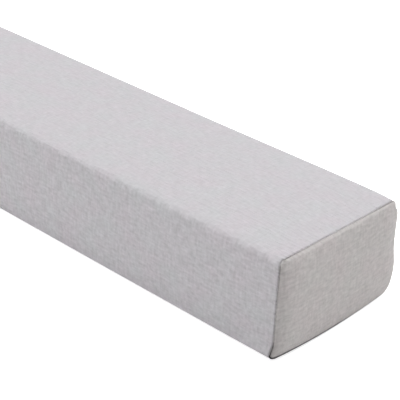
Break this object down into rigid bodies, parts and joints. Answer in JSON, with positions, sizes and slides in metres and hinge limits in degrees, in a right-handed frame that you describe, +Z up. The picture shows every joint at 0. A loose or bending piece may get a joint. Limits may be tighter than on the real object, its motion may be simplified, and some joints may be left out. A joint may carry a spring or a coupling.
{
  "type": "bed gap filler",
  "caption": "Long firm foam bolster in a plain linen-look cover with a sewn-in panel at each end, laid in the gap beside a mattress.",
  "frame": {"origin": "middle of the underside, on the surface that the block rests on", "axes": "+X along the block, +Y from the front side to the back, +Z up"},
  "size_m": [1.9, 0.2196, 0.1325],
  "materials": {
    "sleeve_cloth": "matt, finely slubbed pale grey linen-look plain weave with a faint heathered mottle",
    "end_panel_cloth": "the same matt pale grey cloth, its threads turned across the end and slightly warmer in tone"
  },
  "bodies": {
    "root": {"sleeve": "sleeve_cloth", "end_panel_right": "end_panel_cloth", "end_panel_left": "end_panel_cloth"}
  },
  "joints": []
}
